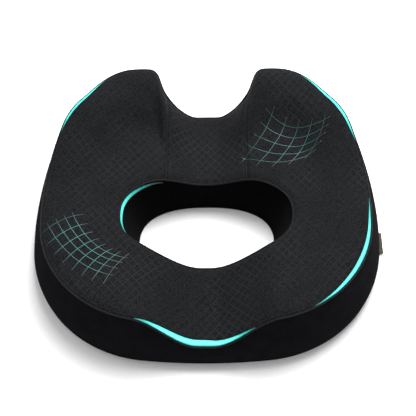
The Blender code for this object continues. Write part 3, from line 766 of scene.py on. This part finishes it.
# Woven nylon zip tape: a dull black twill.
TAPE = speckled("zip_tape", "#0B0B0C", "#1A1B1D", 0.0009, 0.8, 0.35, 0.1)
# Nylon coil: extruded wire with a low gloss.
NYLON = speckled("zip_nylon", "#0E0E10", "#1D1E20", 0.0015, 0.4, 0.08)
# Painted zinc casting: black gloss paint that has worn grey in places.
METAL = speckled("zip_metal", "#232427", "#3B3D41", 0.0025, 0.32, 0.06, Metallic=0.85)
FILM = faded_film()
TAG = woven_tag()


# ============================================================ cover panels

rest, moved = stuffed_pad(FOAM)
swell = Swell(rest, moved)


def beside_bridge(spot):
    """Distance in plan from the bridge's seams, or far where there are none."""
    return abs(abs(spot.x) - BRIDGE_SEAM_X) if spot.y > OPENING_Y else 1.0


def top_spot(cut, share):
    """A point of the sewn top: the skin, pulled down beside the bridge's seams, with gathers."""
    spot = cut.top(share)
    inside, beside = (1 - share) * cut.span, share * cut.span
    near = beside_bridge(spot)
    spot.z -= tuck(near, *BRIDGE_TUCK)
    spot.z += gathers(cut.station, inside) + gathers(cut.station * RIM_PACE, beside)
    spot.z += gathers(spot.y, near)
    return spot, (cut.station, share * cut.span)


def top_piece(name, first, last, spacing, node):
    bm = mapped_grid(cuts(first, last, spacing), rolled(52), top_spot)
    swell.apply(bm)
    thicken(piece(name, bm, "cushion", JACQUARD, (node,)), CLOTH)


top_piece(
    "cover_top", BRIDGE_END + PANEL_GAP, LAP - BRIDGE_END - PANEL_GAP, 0.0032, "top_panel"
)
top_piece(
    "cover_bridge", PANEL_GAP - BRIDGE_END, BRIDGE_END - PANEL_GAP, 0.0018, "bridge_panel"
)


def side_piece(name, first, last, lowest, node):
    """A stretch of the side band, pulled in a little at its upright seams."""

    def place(cut, share):
        level = between(cut.seam.z - SEAM_GAP, lowest, share)
        spot = cut.side(level)
        end = min(abs(cut.station - first), abs(cut.station - last))
        pull = tuck(end, *UPRIGHT_TUCK) - 0.8 * gathers(cut.station, cut.seam.z - level)
        pull -= 0.5 * gathers(cut.station * 1.2, level)
        out = Vector((cut.hand * cut.normal.x, cut.normal.y, 0.0))
        return spot - out * pull, (cut.station, cut.seam.z - level)

    bm = mapped_grid(cuts(first, last, 0.0028), steps(0.0, 1.0, 1 / 34), place)
    swell.apply(bm, SIDE_LOOSE)
    thicken(piece(name, bm, "cushion", PLAIN, (node,)), CLOTH)


HORN, SHOULDER = ARC_END["horn"], ARC_END["shoulder"]
side_piece("gusset_front", SHOULDER, LAP - SHOULDER, SEAM_GAP, "front_gusset")
side_piece("gusset_shoulder_right", HORN, SHOULDER, SEAM_GAP, "shoulder_gusset_right")
side_piece(
    "gusset_shoulder_left", LAP - SHOULDER, LAP - HORN, ZIP_TOP + PANEL_GAP,
    "shoulder_gusset_left",
)
side_piece("gusset_notch", -HORN, HORN, SEAM_GAP, "notch_gusset")


def wall_spot(cut, share):
    """A point of the opening's lining. Its upright seam is at the middle of the rear."""
    spot = cut.wall(share)
    seam = min(cut.station, LAP - cut.station)
    pull = tuck(seam, *LINING_TUCK) - gathers(cut.station * RIM_PACE, (1 - share) * cut.rim_z)
    away = (cut.rim - Vector((0.0, OPENING_Y))).normalized()
    spot += Vector((cut.hand * away.x, away.y, 0.0)) * pull
    return spot, (cut.station * RIM_RUN, share * cut.rim_z)


# The opening's lining, in the darker knit that paints the shade inside the opening.
lining = mapped_grid(cuts(0.0, LAP, 0.0045), steps(0.01, 0.992, 1 / 26), wall_spot)
bmesh.ops.remove_doubles(lining, verts=lining.verts, dist=0.0001)
swell.apply(lining, SIDE_LOOSE)
thicken(piece("opening_lining", lining, "cushion", LINING, ("opening_wall",)), CLOTH)


def base_spot(cut, share):
    """A point of the underside, which is flat except where it turns up into its two seams."""
    spot = cut.base(share)
    width = (cut.outer - cut.rim_foot).length
    near = min(share, 1 - share) * width
    spot.z = DOT_HEIGHT + tuck(near, *FOOT_TUCK)
    return spot, (spot.x, spot.y)


under = mapped_grid(cuts(0.0, LAP, 0.005), rolled(30), base_spot)
bmesh.ops.remove_doubles(under, verts=under.verts, dist=0.0001)
base_cloth = piece("base_cloth", under, "cushion", GRIP, ("bottom_panel",))
thicken(base_cloth, CLOTH * 0.8)


def base_distance(spot):
    """How far a plan place is inside the underside's edges. It is negative outside them."""
    inside = []
    for line, sense in ((OUTER, 1), (RIM_FOOT, -1)):
        gaps = line.spots - np.array((abs(spot.x), spot.y))
        i = int(np.argmin((gaps**2).sum(axis=1)))
        inside.append(sense * float((gaps[i] * line.sides[i]).sum()))
    return min(inside)


def grip_dots():
    """Rows of silicone dots, each row shifted by half a step."""
    placings = []
    rows = math.ceil(DEPTH / 2 / DOT_ROW)
    across = math.ceil(WIDTH / 2 / DOT_PITCH)
    for j in range(-rows, rows + 1):
        for i in range(-across, across + 1):
            spot = Vector(((i + 0.5 * (j % 2)) * DOT_PITCH, j * DOT_ROW, DOT_HEIGHT))
            if base_distance(spot) > DOT_MARGIN:
                placings.append((spot, Vector((1, 0, 0)), UP))
    size = (2 * DOT_RADIUS, 2 * DOT_RADIUS, 2 * DOT_HEIGHT)
    seeds("grip_dots", placings, size, SILICONE, (8, 4))


grip_dots()


# ============================================================ seams


def outline_points(spacing, spot):
    """Points of one closed seam, from a function that gives its place in a cut."""
    return [spot(cut) for cut in cuts(0.0, LAP, spacing)[:-1]]


def outward(cut, out, up=0.0):
    """A move straight out from the outline, and up."""
    return Vector((cut.hand * cut.normal.x * out, cut.normal.y * out, up))


tube(
    "outer_piping",
    outline_points(0.003, lambda cut: cut.top(1.0) + outward(cut, 0.0001, 0.0001)),
    WELT, True, PIPING, stands_for=("outer_welt",),
)
tube(
    "opening_piping",
    outline_points(0.004, lambda cut: cut.top(0.0) + UP * 0.0002),
    WELT, True, PIPING, stands_for=("opening_welt",),
)
tube(
    "foot_piping",
    outline_points(0.004, lambda cut: cut.base(0.0) + UP * 0.0013),
    WELT * 0.9, True, PIPING, stands_for=("foot_seam",),
)
tube(
    "opening_foot_seam",
    outline_points(0.006, lambda cut: cut.base(1.0) + UP * 0.0014),
    FINE_WELT, True, PIPING,
)
for label, hand in (("right", 1), ("left", -1)):
    cut = Slice(hand * BRIDGE_END)
    line = [cut.top(share) - UP * 0.0022 for share in steps(0.012, 0.988, 0.012)]
    tube(
        f"bridge_piping_{label}", line, FINE_WELT, False, PIPING,
        stands_for=(f"bridge_seam_{label}",),
    )
for label, station in (
    ("horn_right", HORN), ("side_right", SHOULDER),
    ("side_left", LAP - SHOULDER), ("horn_left", LAP - HORN),
):
    cut = Slice(station)
    levels = steps(SEAM_GAP, cut.seam.z - WELT, 0.003)
    line = [cut.side(level) - outward(cut, 0.0012) for level in levels]
    tube(f"upright_seam_{label}", line, FINE_WELT, False, PIPING)


def stitch_row(name, spots):
    """Thread stitches along a line of points on the cover, one at each pitch."""
    lengths = [(after - before).length for before, after in zip(spots, spots[1:])]
    run = np.concatenate([[0.0], np.cumsum(lengths)])
    placings = []
    for at in np.arange(STITCH_PITCH / 2, run[-1], STITCH_PITCH):
        i = min(len(spots) - 2, max(0, int(np.searchsorted(run, at)) - 1))
        share = (at - run[i]) / max(run[i + 1] - run[i], 1e-9)
        middle = between(spots[i], spots[i + 1], share)
        placings.append((middle, spots[i + 1] - spots[i], UP))
    seeds(name, placings, (STITCH_LENGTH, STITCH_WIDTH, STITCH_HEIGHT), THREAD)


def on_cover(spot):
    """The cover's surface over a point of the bare skin."""
    return spot + swell.at(spot, UP) * ease(SEAMS.find(spot)[2], SEAM_HOLD, TOP_LOOSE)


def sewn_spot(cut, inside):
    """A point of the sewn top, not yet swollen, at a distance inside the outer seam."""
    return top_spot(cut, 1 - inside / cut.span)[0]


stitch_row(
    "outer_stitching",
    [on_cover(sewn_spot(cut, STITCH_INSET)) + UP * 0.0001 for cut in cuts(0.0, LAP, 0.004)],
)
for label, hand in (("right", 1), ("left", -1)):
    cut = Slice(hand * BRIDGE_END)
    beside_seam = Vector((hand * 0.0040, 0.0, -0.0002))
    row = [on_cover(cut.top(share) + beside_seam) for share in steps(0.03, 0.97, 0.02)]
    stitch_row(f"bridge_stitching_{label}", row)


# ============================================================ zip

ZIP_CENTRE = Vector((-SHOULDER_TURN[0].x, SHOULDER_TURN[0].y))
# The shoulder's arc in the zip's own angles, from its side end to its horn end.
ZIP_START, ZIP_END = math.pi - SHOULDER_TURN[2], math.pi - SHOULDER_TURN[1]


def on_zip_arc(radius, angle, level):
    across, along = radius * math.cos(angle), radius * math.sin(angle)
    return Vector((ZIP_CENTRE.x + across, ZIP_CENTRE.y + along, level))


def zip_coil(name, node, twist):
    """A nylon coil: fine wire wound round the line of the plain coil that it stands for."""
    low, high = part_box(node)
    wire, pitch, points_a_turn = 0.00032, 0.0016, 10
    end_margin = math.radians(2.0) + 0.0245
    start, end = ZIP_START - end_margin, ZIP_END + end_margin
    middle, wound = (low.z + high.z) / 2, (high.z - low.z) / 2 - wire
    count = int(COIL_LINE * (start - end) / pitch) * points_a_turn
    points = []
    for i in range(count + 1):
        turn = 2 * math.pi * i / points_a_turn + twist
        radius = COIL_LINE + wound * math.cos(turn)
        level = middle + wound * math.sin(turn)
        points.append(on_zip_arc(radius, between(start, end, i / count), level))
    tube(name, points, wire, False, NYLON, sides=4, stands_for=(node,))


zip_coil("zip_teeth_lower", "zip_coil_lower", 0.0)
zip_coil("zip_teeth_upper", "zip_coil_upper", math.pi)


def zip_facing():
    """The strip of black cloth behind the coils, which keeps the foam out of the zip."""
    behind, past_end = 0.0031, 0.03

    def place(angle, level):
        bulge = 0.0003 * math.sin(angle * 90)
        return on_zip_arc(COIL_LINE - behind + bulge, angle, level), (angle * COIL_LINE, level)

    angles = steps(ZIP_START + past_end, ZIP_END - past_end, 0.02)
    strip = mapped_grid(angles, steps(0.0010, ZIP_TOP + 0.006, 0.002), place)
    bmesh.ops.recalc_face_normals(strip, faces=strip.faces)
    thicken(piece("zip_facing", strip, "cushion", TAPE), 0.0004)


zip_facing()

for node, finish in (
    ("zip_tape_lower", TAPE), ("zip_tape_upper", TAPE), ("zip_stop_side", METAL),
    ("zip_stop_horn", METAL), ("zip_slider", METAL), ("zip_pull_tab", METAL),
):
    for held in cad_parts[node].material_slots:
        held.material = finish


# ============================================================ tag


def side_label():
    """A woven tag folded once: its two leaves meet in the seam and a soft fold stands out."""
    low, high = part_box("side_tag")
    middle, half = (low.z + high.z) / 2, (high.z - low.z) / 2
    reach = high.x - low.x
    fold_half = 0.04  # half of the fold's share of the way round, from leaf to leaf

    def place(at, side):
        round_fold = min(1.0, max(0.0, (side - 0.5 + fold_half) / (2 * fold_half)))
        rise = half * 0.75 * math.sin(between(-math.pi / 2, math.pi / 2, round_fold))
        out = high.x
        if abs(side - 0.5) > fold_half:
            out = low.x + reach * min(side, 1 - side) / 0.5
        curl = 0.0004 * math.sin((at - low.y) * 190) * (out - low.x) / reach
        return Vector((out, at, middle + rise + curl)), (at - low.y, out - low.x)

    bm = mapped_grid(steps(low.y, high.y, 0.0008), steps(0.0, 1.0, 0.02), place)
    bmesh.ops.recalc_face_normals(bm, faces=bm.faces)
    label = piece("side_label", bm, "cushion", TAG, ("side_tag",))
    solid = label.modifiers.new("Tag thickness", "SOLIDIFY")
    solid.thickness, solid.offset = 0.0002, 0.0


side_label()


# ============================================================ teal trim, and the painted teal glow in the opening


def film_strip(name, spots, widths, strengths, node=None):
    """A thin strip along (point, across) pairs, with its own width and strength at each."""

    def place(i, k):
        spot, across = spots[i]
        offset = (k - 2) / 4
        return spot + across * offset * widths[i], (strengths[i], abs(offset))

    bm = mapped_grid(list(range(len(spots))), list(range(5)), place)
    uv = bm.loops.layers.uv["cloth"]
    layer = bm.loops.layers.float_color.new("strength")
    for face in bm.faces:
        for loop in face.loops:
            along, off = loop[uv].uv
            value = max(0.0, along * (1 - 1.2 * off * off))
            loop[layer] = (value, value, value, 1.0)
    bm.normal_update()
    if sum(face.normal.z for face in bm.faces) < 0:
        bmesh.ops.reverse_faces(bm, faces=bm.faces)
    strip = piece(name, bm, "cushion", FILM, (node,) if node else ())
    thicken(strip, FILM_THICKNESS)


def arc_trim(name, node, first, last, width, peak):
    """A tapered arc on the top, with its outer edge just inside the outer seam."""
    seam_margin, lift, probe = 0.0012, 0.0007, 0.001
    stations = steps(first, last, 0.002)
    spots, widths, strengths = [], [], []
    for i, station in enumerate(stations):
        cut = Slice(station)
        taper = math.sin(math.pi * i / (len(stations) - 1))
        widths.append(width * (0.12 + 0.88 * taper))
        inside = widths[-1] / 2 + seam_margin
        across = sewn_spot(cut, inside - probe) - sewn_spot(cut, inside + probe)
        across.normalize()
        up = across.cross(Vector((-cut.hand * cut.normal.y, cut.normal.x, 0.0)))
        up = up if up.z > 0 else -up
        spots.append((on_cover(sewn_spot(cut, inside)) + up.normalized() * lift, across))
        strengths.append(peak * min(1.0, 0.3 + taper**0.7))
    film_strip(name, spots, widths, strengths, node)


arc_trim("trim_front", "accent_front", 0.698, 0.852, 0.0078, 1.0)
arc_trim("trim_right", "accent_right", 0.400, 0.615, 0.0052, 0.9)
arc_trim("trim_rear_right", "accent_rear_right", 0.158, 0.312, 0.0058, 0.85)
arc_trim("trim_rear_left", "accent_rear_left", LAP - 0.295, LAP - 0.170, 0.0052, 0.8)


def painted_opening_glow():
    """A painted glow: the soft teal edge on the left end of the opening, drawn with the teal film.
    """
    stations = steps(1.035, 1.455, 0.004)
    spots, widths, strengths = [], [], []
    for i, station in enumerate(stations):
        cut = Slice(station)
        taper = math.sin(math.pi * i / (len(stations) - 1))
        high, low = cut.wall(0.985), cut.wall(0.90)
        out = Vector((-cut.rim.x * cut.hand, OPENING_Y - cut.rim.y, 0.0)).normalized()
        spots.append(((high + low) / 2 + out * 0.0009, (low - high).normalized()))
        widths.append(0.0060 * (0.3 + 0.7 * taper))
        strengths.append(0.95 * taper**0.8)
    film_strip("trim_opening", spots, widths, strengths)


painted_opening_glow()


def cover_height(x, y):
    """A point of the cover's top over a plan place, from a ray down on the finished panels."""
    for name in ("cover_top", "cover_bridge"):
        hit, spot, normal, _ = bpy.data.objects[name].ray_cast(Vector((x, y, 0.3)), -UP)
        if hit:
            return spot, normal
    return Vector((x, y, SEAT_LEVEL)), UP


def printed_grid(name, corners, bow_along, bow_across, lines_along, lines_across, spill, strength):
    """A faded printed grid between four plan corners, with both sets of lines bowed. Its strokes
    spill past the corners by a share of its size."""
    near, far, near_end, far_end = (Vector(corner) for corner in corners)
    over_u, over_v = spill
    stroke_width, lift = 0.0008, 0.0004

    def plan(u, v):
        flat = between(between(near, far, u), between(near_end, far_end, u), v)
        return flat + Vector(bow_along) * 4 * u * (1 - u) + Vector(bow_across) * 4 * v * (1 - v)

    shares = steps(0, 1, 0.02)
    strokes = []
    for u in steps(0, 1, 1 / lines_along):
        strokes.append([(u, between(-over_v, 1 + over_v, t)) for t in shares])
    for v in steps(0, 1, 1 / lines_across):
        strokes.append([(between(-over_u, 1 + over_u, t), v) for t in shares])
    for k, stroke in enumerate(strokes):
        spots, strengths = [], []
        for u, v in stroke:
            place = plan(u, v)
            spot, normal = cover_height(place.x, place.y)
            fade = min(ease(u, -over_u, 0.12), 1 - ease(u, 0.80, 1 + over_u))
            fade = min(fade, ease(v, -over_v, 0.12), 1 - ease(v, 0.88, 1 + over_v))
            spots.append((spot + normal * lift, normal))
            strengths.append(strength * (0.12 + 0.88 * fade))
        lined = []
        for i, (spot, normal) in enumerate(spots):
            run = spots[min(i + 1, len(spots) - 1)][0] - spots[max(i - 1, 0)][0]
            lined.append((spot, normal.cross(run).normalized()))
        film_strip(f"{name}_{k:02d}", lined, [stroke_width] * len(lined), strengths)


printed_grid(
    "print_left", ((-0.202, -0.050), (-0.121, -0.121), (-0.172, -0.031), (-0.104, -0.093)),
    (-0.004, -0.012), (0.0, 0.002), 7, 3, (0.06, 0.40), 0.42,
)
printed_grid(
    "print_right", ((0.090, 0.134), (0.160, 0.112), (0.052, 0.072), (0.138, 0.070)),
    (0.0, -0.011), (0.003, 0.0), 4, 4, (0.12, 0.16), 0.28,
)


# ============================================================ floor, light and camera


def studio():
    """A white sky, a white floor, one large lamp high behind and two weak ones at the sides."""
    world = bpy.data.worlds.new("studio")
    bpy.context.scene.world = world
    world.use_nodes = True
    sky = world.node_tree.nodes["Background"]
    sky.inputs["Color"].default_value = (1.0, 1.0, 1.0, 1.0)
    sky.inputs["Strength"].default_value = 0.50
    bm = bmesh.new()
    bmesh.ops.create_grid(bm, x_segments=1, y_segments=1, size=6.0)
    mesh = bpy.data.meshes.new("floor")
    bm.to_mesh(mesh)
    bm.free()
    floor = bpy.data.objects.new("floor", mesh)
    bpy.context.scene.collection.objects.link(floor)
    # Matt white card: no gloss, a faint grain.
    mesh.materials.append(speckled("white_card", "#FBFBFB", "#FFFFFF", 0.004, 0.9, 0.0))
    for name, place, size, power in (
        ("overhead", (0.40, 0.85, 1.6), 1.4, 62.0),
        ("rear_left", (-1.0, 0.2, 1.5), 1.1, 5.0),
        ("rear_right", (1.0, 0.0, 1.5), 1.1, 3.0),
    ):
        lamp = bpy.data.lights.new(name, "AREA")
        lamp.shape, lamp.size, lamp.energy = "DISK", size, power
        holder = bpy.data.objects.new(name, lamp)
        bpy.context.scene.collection.objects.link(holder)
        holder.location = place
        aim = Vector((0, 0, 0.05)) - Vector(place)
        holder.rotation_euler = aim.to_track_quat("-Z", "Y").to_euler()


def camera():
    """A three-quarter view from above the front, 1.5 m away, with a long lens."""
    lift, turn, tilt = math.radians(54.0), math.radians(1.5), math.radians(-1.5)
    away, aim = 1.5, Vector((0.0, 0.0105, 0.040))
    level = math.cos(lift)
    back = Vector((math.sin(turn) * level, -math.cos(turn) * level, math.sin(lift)))
    right = Vector((math.cos(turn), math.sin(turn), 0.0))
    up = back.cross(right)
    sideways = right * math.cos(tilt) + up * math.sin(tilt)
    upright = up * math.cos(tilt) - right * math.sin(tilt)
    lens = bpy.data.cameras.new("view")
    lens.sensor_width, lens.lens = 36.0, 96.2
    lens.shift_x, lens.shift_y = 0.0036, -0.0012
    eye = bpy.data.objects.new("view", lens)
    bpy.context.scene.collection.objects.link(eye)
    facing = Matrix((sideways, upright, back)).transposed().to_4x4()
    eye.matrix_world = Matrix.Translation(aim + back * away) @ facing
    bpy.context.scene.camera = eye


studio()
camera()
bpy.context.scene.view_settings.view_transform = "Standard"
bpy.context.view_layer.update()
